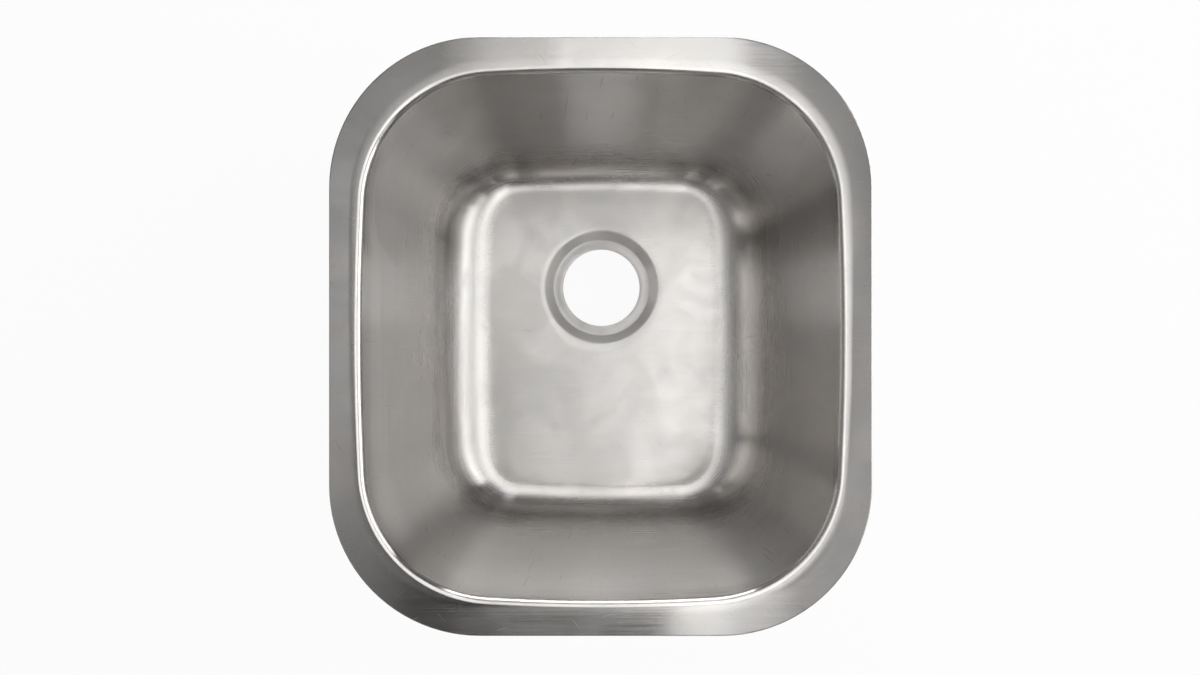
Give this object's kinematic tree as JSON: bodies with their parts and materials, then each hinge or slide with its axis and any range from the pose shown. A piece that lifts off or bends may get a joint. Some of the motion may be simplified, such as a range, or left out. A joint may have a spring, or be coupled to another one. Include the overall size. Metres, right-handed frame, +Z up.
{
  "type": "undermount kitchen sink",
  "caption": "Undermount kitchen sink: a bowl drawn from brushed stainless sheet with a flat flange, coved floor and a stepped drain seat, with rubber pads and undercoat behind it.",
  "frame": {"origin": "middle of the flange's top face, the face that is glued under the worktop; it lies in the mouth of the bowl", "axes": "+Z up out of the bowl, +Y to the back of the sink, where the drain is, +X to the right as a person stands in front of it"},
  "size_m": [0.419, 0.462, 0.2117],
  "materials": {
    "stainless": "satin brushed stainless steel, a little brighter in the coves",
    "undercoat": "sprayed matt grey sound-deadening coat with a fine orange-peel texture",
    "rubber_pad": "matt black rubber sheet"
  },
  "bodies": {
    "root": {"bowl": "stainless", "undercoat": "undercoat", "floor_pad": "rubber_pad", "left_pad": "rubber_pad", "right_pad": "rubber_pad", "front_pad": "rubber_pad", "rear_pad": "rubber_pad"}
  },
  "joints": []
}
